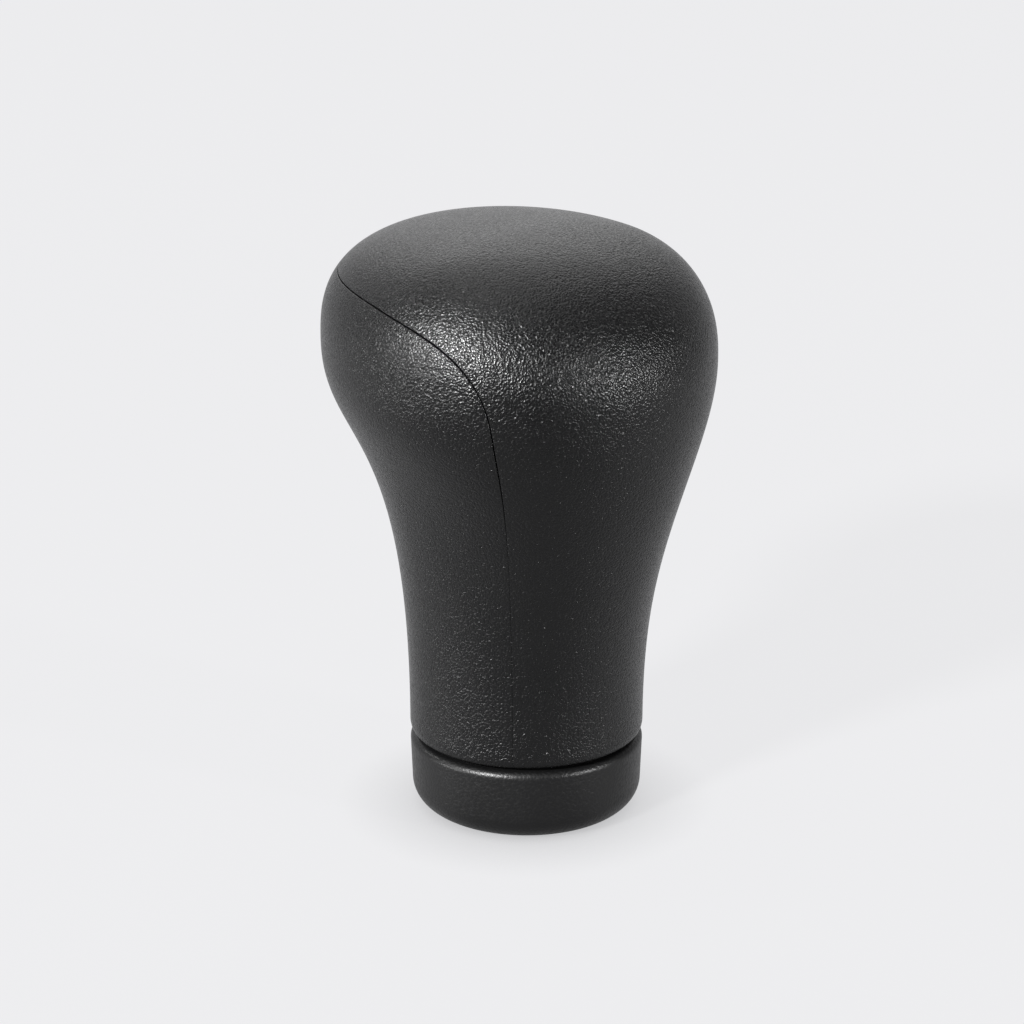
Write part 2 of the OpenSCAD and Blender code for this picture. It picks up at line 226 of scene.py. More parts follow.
@dataclass(frozen=True)
class KnobForm:
    """Outer form: the side outline blends into the front or rear one.

    The share of the front or rear outline is the square of the sine of the angle from +X.
    """

    top: float
    neck: Neck = Neck()
    side: Outline = Outline(24.9, 16.7, 2.7, 40.0, 11.0)
    front: Outline = Outline(24.6, 17.6, 2.0, 19.5, 14.0)
    rear: Outline = Outline(30.3, 13.9, 2.5, 51.5, 18.0)
    halvings: int = 46

    def end(self, t: Array, behind: Array) -> tuple[Array, Array]:
        """Radius and height of the rear outline, or of the front one.

        Args:
            t: steps of the outline.
            behind: true where the rear outline holds.

        Returns:
            Radii and heights, one of each for every step.
        """
        fr, fz = self.front.at(t, self.neck, self.top)
        rr, rz = self.rear.at(t, self.neck, self.top)
        return np.where(behind, rr, fr), np.where(behind, rz, fz)

    def point(self, t: Array, angle: Array) -> Array:
        """Point of the form: an ellipse of the two radii at one step, with the heights blended.

        Args:
            t: steps of the outline.
            angle: angles from +X towards +Y, in radians.

        Returns:
            One point for each pair, in millimetres.
        """
        sine = np.sin(angle)
        sr, sz = self.side.at(t, self.neck, self.top)
        er, ez = self.end(t, sine > 0)
        return np.stack([sr * np.cos(angle), er * sine, sz * (1 - sine**2) + ez * sine**2], axis=-1)

    def normal(self, t: Array, angle: Array) -> Array:
        """Outward unit normal: the cross product of small steps round the form and up it.

        Args:
            t: steps of the outline.
            angle: angles from +X towards +Y, in radians.

        Returns:
            One normal for each pair, straight up at the crown's middle.
        """
        step = 1e-4
        up = self.point(np.minimum(t + step, 2), angle) - self.point(np.maximum(t - step, 0), angle)
        around = self.point(t, angle + step) - self.point(t, angle - step)
        cross = np.cross(around, up)
        length = np.linalg.norm(cross, axis=-1, keepdims=True)
        unit = cross / np.maximum(length, SMALL_CROSS)
        return np.where(length > SMALL_CROSS, unit, np.array([0.0, 0.0, 1.0]))

    def seen_from_side(self, y: Array, z: Array) -> tuple[Array, Array]:
        """Surface point on the +X half at a place in the side view, and its normal.

        The outline step is found by halving: the height of the form above y grows with the step.

        Args:
            y: distance behind the lever's axis.
            z: height above the foot.

        Returns:
            Points and outward normals, drawn in below the outlines' start by the neck's round.
        """
        behind = y > 0
        z_up = np.maximum(z, self.neck.start)
        low = np.zeros_like(y)
        high = np.full_like(y, 2.0)
        for _ in range(self.halvings):
            t = (low + high) / 2
            sz = self.side.at(t, self.neck, self.top)[1]
            er, ez = self.end(t, behind)
            q2 = np.minimum(1.0, (y / np.maximum(er, SMALL_RADIUS)) ** 2)
            under = sz * (1 - q2) + ez * q2 < z_up
            low = np.where(under, t, low)
            high = np.where(under, high, t)
        t = (low + high) / 2
        narrow = self.neck.narrowing(z)
        er = self.end(t, behind)[0] * narrow
        angle = np.arcsin(np.clip(y / np.maximum(er, SMALL_RADIUS), -1, 1))
        place = self.point(t, angle)
        place[..., :2] *= narrow[..., None]
        place[..., 2] = np.where(z < self.neck.start, z, place[..., 2])
        return place, self.normal(t, angle)


@dataclass(frozen=True)
class PartingLine:
    """Parting line of the shells in the side view: it rises up the neck and sweeps to the rear.

    Lengths are in millimetres.
    """

    form: KnobForm
    tongue_deg: float = 88.0
    reach: float = 16.6
    turn_drop: float = 20.5
    level_drop: float = 7.1
    level_y: float = 26.4
    foot_pull: float = 28.7
    turn_pull: float = 12.8
    corner_pull: float = 16.8
    level_pull: float = 19.2
    tight: float = 0.2
    tight_z: tuple[float, float] = (40.0, 58.0)
    steps: int = 160

    @property
    def turn_z(self) -> float:
        """Height at which the line is furthest forward.

        Returns:
            The height in millimetres.
        """
        return self.form.top - self.turn_drop

    def openness(self, z: Array) -> Array:
        """Share of the full gap at a height: the shells close up tighter down the neck.

        Args:
            z: heights above the foot.

        Returns:
            One share for each height.
        """
        share = np.clip((z - self.tight_z[0]) / (self.tight_z[1] - self.tight_z[0]), 0, 1)
        return self.tight + (1 - self.tight) * share**2 * (3 - 2 * share)

    def curve(self, a: Array, b: Array, c: Array, d: Array, shift: float) -> Array:
        """Cubic curve through the side view, moved to its left by shift times the openness.

        Args:
            a: start.
            b: point that the curve leaves the start towards.
            c: point that it comes to the end from.
            d: end.
            shift: distance to the left of the way along the curve.

        Returns:
            Points (y, z), one for each of the steps.
        """
        t = np.linspace(0, 1, self.steps)[:, None]
        way = (b - a) * (1 - t) ** 2 + 2 * (c - b) * (1 - t) * t + (d - c) * t**2
        left = np.stack([-way[:, 1], way[:, 0]], axis=1) / np.linalg.norm(way, axis=1)[:, None]
        base = cubic(a, b, c, d, t)
        return base + shift * self.openness(base[:, 1:]) * left

    def line(self, shift: float) -> tuple[Array, Array]:
        """The rise up the neck, and the sweep on to the rear outline.

        Args:
            shift: distance towards the crown's side of the line.

        Returns:
            Points (y, z) of the rise, and of the sweep.
        """
        neck = self.form.neck
        foot = np.array([-neck.radius * np.cos(np.radians(self.tongue_deg / 2)), neck.low])
        turn = np.array([-self.reach, self.turn_z])
        level = np.array([self.level_y, self.form.top - self.level_drop])
        up = np.array([0.0, 1.0])
        back = np.array([1.0, 0.0])
        rise = self.curve(foot, foot + self.foot_pull * up, turn - self.turn_pull * up, turn, shift)
        sweep = self.curve(turn, turn + self.corner_pull * up, level - self.level_pull * back, level, shift)
        z_end = level[1] + shift
        y_end = self.form.rear.reach_at(z_end, self.form.top)
        ys = np.linspace(level[0], y_end, self.steps)[1:]
        return rise, np.concatenate([sweep, np.stack([ys, np.full_like(ys, z_end)], axis=1)])


@dataclass(frozen=True)
class ShellEdge:
    """Edge of a shell along the parting line, in millimetres."""

    gap: float = 0.1
    radius: float = 0.13
    wall: float = 2.4
    steps: int = 4


class Shell:
    """One moulded shell: rows run along the parting line, each a closed ring through the wall."""

    # Points of each part of an outline before it is cut into rows, and rows on the lower edge's round
    OUTLINE_POINTS = 500
    FOOT_ROWS = 6
    SHARP_DEG = 25.0

    def __init__(self, name: str, form: KnobForm, parting: PartingLine, edge: ShellEdge, side: int
                 ) -> None:
        """Keeps the shell's sizes.

        Args:
            name: name of the piece.
            form: outer form that both shells share.
            parting: parting line between them.
            edge: gap, edge radius and wall.
            side: 1 for the shell in front of the line, -1 for the one behind it.
        """
        self.name = name
        self.form = form
        self.parting = parting
        self.edge = edge
        self.side = side

    def foot_heights(self) -> Array:
        """Heights of the rows on the round at the neck's lower edge, even in its angle.

        Returns:
            The heights, from the lower edge up to just under the end of the round.
        """
        neck = self.form.neck
        turn = np.linspace(0, np.pi / 2, self.FOOT_ROWS + 1)[:-1]
        return neck.low + neck.round_height * (1 - np.cos(turn))

    def middle(self, z_end: float) -> Array:
        """Outline of the shell in the knob's middle plane.

        Args:
            z_end: height of the parting line's rear end.

        Returns:
            Points (y, z) from the neck's foot to that end.
        """
        neck = self.form.neck
        fine = self.OUTLINE_POINTS
        rise = np.concatenate([np.linspace(0, 1, fine), 1 + np.linspace(0, 1, fine)[1:] ** 2])
        share = (z_end - self.form.top + self.form.rear.drop) / self.form.rear.drop
        last = 1 + np.arcsin(share ** (self.form.rear.square / 2)) * 2 / np.pi
        foot_z = self.foot_heights()
        foot = np.stack([-self.side * neck.radius * neck.narrowing(foot_z), foot_z], axis=1)
        if self.side > 0:
            fr, fz = self.form.front.at(rise, neck, self.form.top)
            rr, rz = self.form.rear.at(np.linspace(2, last, fine)[1:], neck, self.form.top)
            return np.concatenate([foot, np.stack([-fr, fz], axis=1), np.stack([rr, rz], axis=1)])
        up = np.concatenate([np.linspace(0, 1, fine), 1 + np.linspace(0, 1, fine)[1:] * (last - 1)])
        rr, rz = self.form.rear.at(up, neck, self.form.top)
        return np.concatenate([foot, np.stack([rr, rz], axis=1)])

    def stations(self, line: Array, level_z: float, rows: tuple[int, int]) -> Array:
        """Rows of a polyline: at even heights up to level_z, then at even shares of what is left.

        Args:
            line: corners of the polyline, one a row.
            level_z: height up to which the rows are level.
            rows: rows up to level_z, and rows above it.

        Returns:
            One point for each row.
        """
        top = int(np.argmax(line[:, 1] >= level_z))
        heights = np.concatenate([self.foot_heights(), np.linspace(self.form.neck.start, level_z, rows[0])])
        even = np.stack([np.interp(heights, line[: top + 1, 1], line[: top + 1, 0]), heights], axis=1)
        rest = np.concatenate([even[-1:], line[top:]])
        return np.concatenate([even, walk(rest, np.linspace(0, 1, rows[1] + 1)[1:])])

    def build(self, across: int, rows: tuple[int, int], level_z: float, spread_deg: tuple[float, float]
              ) -> bpy.types.Object:
        """Builds the shell's closed mesh.

        Each row joins the left edge, the outer face, the right edge and the inner face. A point of the
        outer face lies on the straight side-view line from the middle outline to the parting line, at
        the share (1 - cos(v a)) / (1 - cos(a)) for v from -1 to 1. The form gives its distance from the
        middle plane.

        Args:
            across: columns of the outer face.
            rows: rows up to level_z, and rows above it.
            level_z: height up to which rows are level.
            spread_deg: angle a of the share at the neck and at the crown.

        Returns:
            The piece.
        """
        edge = self.edge
        turns = np.linspace(0, np.pi / 2, edge.steps + 1)
        shifts = [self.side * (edge.gap / 2 + edge.radius * (1 - np.sin(b))) for b in turns]
        lines = [self.stations(np.concatenate([rise[:-1], sweep]), level_z, rows)
                 for rise, sweep in (self.parting.line(s) for s in shifts)]
        z_end = lines[0][-1, 1]
        middle = self.stations(self.middle(z_end), level_z, rows)
        middle[-1] = lines[0][-1]
        count = len(middle)
        spread = np.radians(np.linspace(spread_deg[0], spread_deg[1], count))[:, None]
        v = np.linspace(-1, 1, across)[None, :]
        share = (1 - np.cos(v * spread)) / (1 - np.cos(spread))
        side_view = middle[:, None, :] + share[..., None] * (lines[0] - middle)[:, None, :]
        face, face_n = self.form.seen_from_side(side_view[..., 0], side_view[..., 1])
        sign = np.sign(v)
        face[..., 0] *= sign
        face_n[..., 0] *= sign
        rim, rim_n = self.form.seen_from_side(
            np.stack([line[:, 0] for line in lines[1:]], axis=1),
            np.stack([line[:, 1] for line in lines[1:]], axis=1))
        depth = edge.radius * (1 - np.cos(turns[1:])) * self.parting.openness(rim[..., 2])
        rim = rim - rim_n * depth[..., None]
        deep = rim[:, -1:] - rim_n[:, -1:] * (edge.wall - edge.radius) * np.array([0.5, 1.0])[None, :, None]
        right = np.concatenate([rim, deep], axis=1)
        left = right[:, ::-1] * np.array([-1.0, 1.0, 1.0])
        inner = (face - face_n * edge.wall)[:, ::-1]
        level = self.FOOT_ROWS + 1
        inner[:level, :, 2] = face[:level, ::-1, 2]
        ring = np.concatenate([face, right, inner, left], axis=1)
        faces = self.faces(count, across, right.shape[1])
        return make_object(self.name, ring.reshape(-1, 3), faces, self.SHARP_DEG)

    def faces(self, rows: int, across: int, rim: int) -> list[tuple[int, ...]]:
        """Faces of the rings, with the flat lower end of the wall closed by quads and two rim faces.

        Args:
            rows: number of rings.
            across: columns of the outer face.
            rim: points of each edge.

        Returns:
            The corner numbers of each face.
        """
        ring = 2 * across + 2 * rim
        faces = ring_faces(rows, ring)
        inner = across + rim + across - 1
        faces += [(j, j + 1, inner - j - 1, inner - j) for j in range(across - 1)]
        faces.append(tuple(range(across - 1, across + rim + 1)))
        faces.append((*range(inner, ring), 0))
        return faces


@dataclass(frozen=True)
class Collar:
    """Locking collar, in millimetres: a drafted ring with a cam inside and a snap rib under its top edge."""

    radius: float = 15.6
    height: float = 10.2
    draft_deg: float = 2.2
    bore: float = 13.5
    floor: float = 2.2
    foot_round: float = 3.6
    edge_round: float = 1.0
    cam_ring: float = 11.3
    cam_top: float = 6.0
    land: float = 9.2
    pocket: float = 10.0
    shift: float = 1.1
    rib: float = 12.7
    rib_low: float = 7.4
    rib_top: float = 8.5
    window_deg: tuple[float, float] = (-7.2, 97.2)
    sides: int = 288
    foot_steps: int = 16
    edge_steps: int = 9
    sharp_deg: float = 28.0

    def round_edge(self, r: float, z: float, from_deg: float, to_deg: float, steps: int) -> Array:
        """Arc that touches the drafted side.

        Args:
            r: radius of the arc.
            z: height of its centre.
            from_deg: angle at its start.
            to_deg: angle at its end.
            steps: number of points.

        Returns:
            Radii and heights, one pair a row.
        """
        slope = np.radians(self.draft_deg)
        foot = self.radius - self.height * np.tan(slope)
        angle = np.radians(np.linspace(from_deg, to_deg, steps))
        centre = foot + z * np.tan(slope) - r / np.cos(slope)
        return np.stack([centre + r * np.cos(angle), z + r * np.sin(angle)], axis=1)

    def hole(self, angle: Array) -> Array:
        """Radius of the cam hole: the land's circle, or one of two circles moved towards +Y and -Y.

        Args:
            angle: angles from +X towards +Y, in radians.

        Returns:
            One radius for each angle.
        """
        r = self.pocket - self.shift
        sine = np.abs(np.sin(angle))
        moved = self.shift * sine + np.sqrt(r**2 - (self.shift * np.cos(angle)) ** 2)
        return np.maximum(self.land, moved)

    def build(self, name: str) -> bpy.types.Object:
        """Builds the collar by carrying its half section round the axis.

        The cam hole and the snap rib follow the angle.

        Args:
            name: name of the piece.

        Returns:
            The piece.
        """
        angle = np.arange(self.sides) * 2 * np.pi / self.sides
        degrees = np.degrees(angle)
        turned = (degrees - self.window_deg[0]) % 360
        window = turned < self.window_deg[1] - self.window_deg[0]
        rib = np.where(window, self.bore, self.rib)
        hole = self.hole(angle)
        outer = np.concatenate([
            self.round_edge(self.foot_round, self.foot_round, -90, -self.draft_deg, self.foot_steps),
            self.round_edge(self.edge_round, self.height - self.edge_round, -self.draft_deg, 90,
                            self.edge_steps)])
        fixed = [(np.full(self.sides, r), z) for r, z in outer]
        inside = [(self.bore, self.height), (self.bore, self.rib_top), (rib, self.rib_top),
                  (rib, self.rib_low), (self.bore, self.rib_low), (self.bore, self.floor),
                  (self.cam_ring, self.floor), (self.cam_ring, self.cam_top),
                  (hole, self.cam_top), (hole, 0.0)]
        section = fixed + [(np.broadcast_to(r, (self.sides,)), z) for r, z in inside]
        r = np.stack([r for r, _ in section], axis=1)
        z = np.broadcast_to(np.array([z for _, z in section]), r.shape)
        grid = np.stack([r * np.cos(angle)[:, None], r * np.sin(angle)[:, None], z], axis=-1)
        closed = np.concatenate([grid, grid[:1]])
        faces = ring_faces(self.sides + 1, len(section))
        return make_object(name, closed.reshape(-1, 3), faces, self.sharp_deg)


class NodeTree:
    """Small helper that adds and joins nodes of one tree."""

    def __init__(self, tree: bpy.types.NodeTree) -> None:
        """Starts with an empty tree.

        Args:
            tree: tree of a material, a world or a group.
        """
        self.tree = tree
        tree.nodes.clear()

    def add(self, kind: str, **values: object) -> bpy.types.Node:
        """Adds a node and sets its properties.

        Args:
            kind: type name of the node.
            values: properties to set.

        Returns:
            The node.
        """
        node = self.tree.nodes.new(kind)
        for key, value in values.items():
            setattr(node, key, value)
        return node

    def join(self, start: bpy.types.NodeSocket, end: bpy.types.NodeSocket) -> None:
        """Joins an output to an input.

        Args:
            start: output.
            end: input.
        """
        self.tree.links.new(start, end)

    def maths(self, operation: str, *terms: object) -> bpy.types.NodeSocket:
        """Adds a Math node.

        Args:
            operation: name of the operation.
            terms: inputs, each a socket or a number.

        Returns:
            The node's output.
        """
        node = self.add("ShaderNodeMath", operation=operation)
        for slot, term in zip(node.inputs, terms):
            if isinstance(term, bpy.types.NodeSocket):
                self.join(term, slot)
            else:
                slot.default_value = term
        return node.outputs[0]


class GrainGroup:
    """Moulded leather grain as a node group: pebbles from cells whose places are shaken by a noise."""

    NAME = "moulded_grain"
    # Noise that shakes the pebbles: its scale, and its reach in pebbles
    SHAKE_SCALE = 0.8
    SHAKE_REACH = 1.1
    # Scales of the fine noise and of the slow patches, beside that of the pebbles
    FINE_SCALE = 2.4
    PATCH_SCALE = 0.06

    @classmethod
    def get(cls) -> bpy.types.NodeTree:
        """Builds the group once.

        The height is one less the square of the distance to the nearest cell centre, which gives domed
        pebbles with creases between them, plus finer noise. The shade-and-gloss mask follows the pebbles:
        it is low in the creases, where the material paints shade, and high on the tops. The patch is a slow
        noise for uneven gloss.

        Returns:
            The group: inputs Vector, Pebble Size and Fine Share, outputs Height, Shade And Gloss and Patch.
        """
        if cls.NAME in bpy.data.node_groups:
            return bpy.data.node_groups[cls.NAME]
        group = bpy.data.node_groups.new(cls.NAME, "ShaderNodeTree")
        face = group.interface
        face.new_socket("Vector", in_out="INPUT", socket_type="NodeSocketVector")
        face.new_socket("Pebble Size", in_out="INPUT", socket_type="NodeSocketFloat")
        face.new_socket("Fine Share", in_out="INPUT", socket_type="NodeSocketFloat")
        for name in ("Height", "Tone", "Patch"):
            face.new_socket(name, in_out="OUTPUT", socket_type="NodeSocketFloat")
        net = NodeTree(group)
        entry = net.add("NodeGroupInput")
        leave = net.add("NodeGroupOutput")
        scale = net.maths("DIVIDE", 1.0, entry.outputs["Pebble Size"])
        shake = net.add("ShaderNodeTexNoise", noise_dimensions="3D")
        shake.inputs["Detail"].default_value = 1.0
        net.join(entry.outputs["Vector"], shake.inputs["Vector"])
        net.join(net.maths("MULTIPLY", scale, cls.SHAKE_SCALE), shake.inputs["Scale"])
        centred = net.add("ShaderNodeVectorMath", operation="SUBTRACT")
        centred.inputs[1].default_value = (0.5, 0.5, 0.5)
        net.join(shake.outputs["Color"], centred.inputs[0])
        moved = net.add("ShaderNodeVectorMath", operation="SCALE")
        net.join(centred.outputs[0], moved.inputs[0])
        reach = net.maths("MULTIPLY", entry.outputs["Pebble Size"], cls.SHAKE_REACH)
        net.join(reach, moved.inputs["Scale"])
        place = net.add("ShaderNodeVectorMath", operation="ADD")
        net.join(entry.outputs["Vector"], place.inputs[0])
        net.join(moved.outputs[0], place.inputs[1])
        cells = net.add("ShaderNodeTexVoronoi", feature="F1", voronoi_dimensions="3D")
        net.join(place.outputs[0], cells.inputs["Vector"])
        net.join(scale, cells.inputs["Scale"])
        fine = net.add("ShaderNodeTexNoise", noise_dimensions="3D")
        fine.inputs["Detail"].default_value = 2.0
        net.join(entry.outputs["Vector"], fine.inputs["Vector"])
        net.join(net.maths("MULTIPLY", scale, cls.FINE_SCALE), fine.inputs["Scale"])
        patch = net.add("ShaderNodeTexNoise", noise_dimensions="3D")
        patch.inputs["Detail"].default_value = 2.0
        net.join(entry.outputs["Vector"], patch.inputs["Vector"])
        net.join(net.maths("MULTIPLY", scale, cls.PATCH_SCALE), patch.inputs["Scale"])
        squared = net.maths("POWER", cells.outputs["Distance"], 2.0)
        pebble = net.maths("SUBTRACT", 1.0, squared)
        rough = net.maths("MULTIPLY", fine.outputs[0], entry.outputs["Fine Share"])
        net.join(net.maths("ADD", pebble, rough), leave.inputs["Height"])
        # Pebble mask for the painted shade in the creases and for the gloss
        net.join(pebble, leave.inputs["Tone"])
        net.join(patch.outputs[0], leave.inputs["Patch"])
        return group


@dataclass(frozen=True)
class GrainFinish:
    """Moulded plastic with a leather grain; lengths are in metres."""

    # Heights of the grain between which the shade-and-gloss mask runs, and the shares of the colour at
    # its ends: painted shade in the creases, painted light on the pebble tops
    SHADE_AND_GLOSS_RANGE = (0.4, 1.0)
    PAINTED_CREASE_SHADES = (0.8, 1.1)
    # Change of the roughness from patch to patch, and from a pebble's foot to its top
    PATCH_GLOSS = 0.1
    PEBBLE_GLOSS = 0.12

    slot: str
    colour: tuple[float, float, float]
    roughness: float
    pebble: float
    depth: float
    fine_share: float
    specular: float = 0.5

    def material(self) -> bpy.types.Material:
        """Builds the material: the grain drives the bump, the gloss and painted shade, darker in the creases
        and lighter on the pebble tops.

        Returns:
            The material, named after the slot.
        """
        made = bpy.data.materials.new(self.slot)
        made.use_nodes = True
        net = NodeTree(made.node_tree)
        leave = net.add("ShaderNodeOutputMaterial")
        shader = net.add("ShaderNodeBsdfPrincipled")
        shader.inputs["Specular IOR Level"].default_value = self.specular
        net.join(shader.outputs[0], leave.inputs["Surface"])
        where = net.add("ShaderNodeTexCoord")
        grain = net.add("ShaderNodeGroup", node_tree=GrainGroup.get())
        grain.inputs["Pebble Size"].default_value = self.pebble
        grain.inputs["Fine Share"].default_value = self.fine_share
        net.join(where.outputs["Object"], grain.inputs["Vector"])
        crease_shade_and_gloss = net.add("ShaderNodeMapRange")
        crease_shade_and_gloss.inputs["From Min"].default_value = self.SHADE_AND_GLOSS_RANGE[0]
        crease_shade_and_gloss.inputs["From Max"].default_value = self.SHADE_AND_GLOSS_RANGE[1]
        net.join(grain.outputs["Tone"], crease_shade_and_gloss.inputs["Value"])
        # Painted shade: the colour is darker in the grain's creases and lighter on the pebble tops
        mix = net.add("ShaderNodeMix", data_type="RGBA")
        mix.inputs[6].default_value = (*[c * self.PAINTED_CREASE_SHADES[0] for c in self.colour], 1.0)
        mix.inputs[7].default_value = (*[c * self.PAINTED_CREASE_SHADES[1] for c in self.colour], 1.0)
        net.join(crease_shade_and_gloss.outputs[0], mix.inputs[0])
        net.join(mix.outputs[2], shader.inputs["Base Color"])
        patch = grain.outputs["Patch"]
        gloss = net.maths("MULTIPLY_ADD", patch, self.PATCH_GLOSS, self.roughness - self.PATCH_GLOSS / 2)
        dull = net.maths("MULTIPLY_ADD", crease_shade_and_gloss.outputs[0], -self.PEBBLE_GLOSS, self.PEBBLE_GLOSS / 2)
        net.join(net.maths("ADD", gloss, dull), shader.inputs["Roughness"])
        bump = net.add("ShaderNodeBump")
        bump.inputs["Strength"].default_value = 1.0
        bump.inputs["Distance"].default_value = self.depth
        net.join(grain.outputs["Height"], bump.inputs["Height"])
        net.join(bump.outputs[0], shader.inputs["Normal"])
        return made


@dataclass(frozen=True)
class PlainFinish:
    """Plain moulded, rubber or metal finish with a fine uneven surface; lengths are in metres."""

    # Shares of the colour at the ends of the noise, and its change of the roughness
    SHADES = (0.85, 1.15)
    GLOSS = 0.2

    slot: str
    colour: tuple[float, float, float]
    roughness: float
    metallic: float
    mottle: float
    depth: float

    def material(self) -> bpy.types.Material:
        """Builds the material: a noise shifts the colour, the gloss and the normal a little.

        Returns:
            The material, named after the slot.
        """
        made = bpy.data.materials.new(self.slot)
        made.use_nodes = True
        net = NodeTree(made.node_tree)
        leave = net.add("ShaderNodeOutputMaterial")
        shader = net.add("ShaderNodeBsdfPrincipled")
        shader.inputs["Metallic"].default_value = self.metallic
        net.join(shader.outputs[0], leave.inputs["Surface"])
        where = net.add("ShaderNodeTexCoord")
        noise = net.add("ShaderNodeTexNoise", noise_dimensions="3D")
        noise.inputs["Scale"].default_value = 1 / self.mottle
        noise.inputs["Detail"].default_value = 3.0
        net.join(where.outputs["Object"], noise.inputs["Vector"])
        mix = net.add("ShaderNodeMix", data_type="RGBA")
        mix.inputs[6].default_value = (*[c * self.SHADES[0] for c in self.colour], 1.0)
        mix.inputs[7].default_value = (*[c * self.SHADES[1] for c in self.colour], 1.0)
        net.join(noise.outputs[0], mix.inputs[0])
        net.join(mix.outputs[2], shader.inputs["Base Color"])
        gloss = net.maths("MULTIPLY_ADD", noise.outputs[0], self.GLOSS, self.roughness - self.GLOSS / 2)
        net.join(gloss, shader.inputs["Roughness"])
        bump = net.add("ShaderNodeBump")
        bump.inputs["Distance"].default_value = self.depth
        net.join(noise.outputs[0], bump.inputs["Height"])
        net.join(bump.outputs[0], shader.inputs["Normal"])
        return made


@dataclass(frozen=True)
class PhotoCamera:
    """Camera of the photograph: no roll, and the knob's axis at the collar's top seen at a known pixel."""

    azimuth_deg: float = -37.0
    pitch_deg: float = 19.8
    focal_px: float = 3600.0
    px_per_mm: float = 7.43
    axis_px: tuple[float, float] = (526.4, 725.0)
    axis_height: float = 10.5
    image_px: float = 1024.0
    sensor_mm: float = 36.0

    def frame(self) -> tuple[Vector, Vector, Vector, Vector]:
        """Place and directions of the camera.

        Returns:
            Place in metres, and the right, up and backward directions.
        """
        turn = np.radians(self.azimuth_deg)
        pitch = np.radians(self.pitch_deg)
        back = Vector((np.sin(turn) * np.cos(pitch), -np.cos(turn) * np.cos(pitch), np.sin(pitch)))
        right = Vector((np.cos(turn), np.sin(turn), 0.0))
        up = back.cross(right)
        far = self.focal_px / self.px_per_mm
        half = self.image_px / 2
        across = (self.axis_px[0] - half) / self.px_per_mm
        down = (self.axis_px[1] - half) / self.px_per_mm
        place = Vector((0, 0, self.axis_height)) + back * far - right * across + up * down
        return place * MM, right, up, back

    def build(self) -> bpy.types.Object:
        """Makes the camera and sets it on the scene.

        Returns:
            The camera.
        """
        place, right, up, back = self.frame()
        data = bpy.data.cameras.new("photo_camera")
        data.sensor_width = self.sensor_mm
        data.lens = self.focal_px / self.image_px * self.sensor_mm
        data.clip_start = 0.05
        camera = bpy.data.objects.new("photo_camera", data)
        turn = Matrix((right, up, back)).transposed().to_4x4()
        camera.matrix_world = Matrix.Translation(place) @ turn
        bpy.context.scene.collection.objects.link(camera)
        bpy.context.scene.camera = camera
        return camera


@dataclass(frozen=True)
class SoftLight:
    """Soft panel light: azimuth is from the camera's side, positive to its right; lengths are in metres."""

    name: str
    azimuth_deg: float
    elevation_deg: float
    width: float
    height: float
    radiance: float
    distance: float = 2.5

    def build(self, camera_azimuth_deg: float, aim: Vector) -> bpy.types.Object:
        """Places the light on a sphere round the aim, facing it.

        Args:
            camera_azimuth_deg: azimuth of the camera.
            aim: point that the light faces, in metres.

        Returns:
            The light.
        """
        turn = np.radians(camera_azimuth_deg + self.azimuth_deg)
        lift = np.radians(self.elevation_deg)
        way = Vector((np.sin(turn) * np.cos(lift), -np.cos(turn) * np.cos(lift), np.sin(lift)))
        data = bpy.data.lights.new(self.name, "AREA")
        data.shape = "ELLIPSE"
        data.size = self.width
        data.size_y = self.height
        area = np.pi * self.width * self.height / 4
        data.energy = self.radiance * np.pi * area
        light = bpy.data.objects.new(self.name, data)
        light.location = aim + way * self.distance
        light.rotation_euler = way.to_track_quat("Z", "Y").to_euler()
        bpy.context.scene.collection.objects.link(light)
        return light


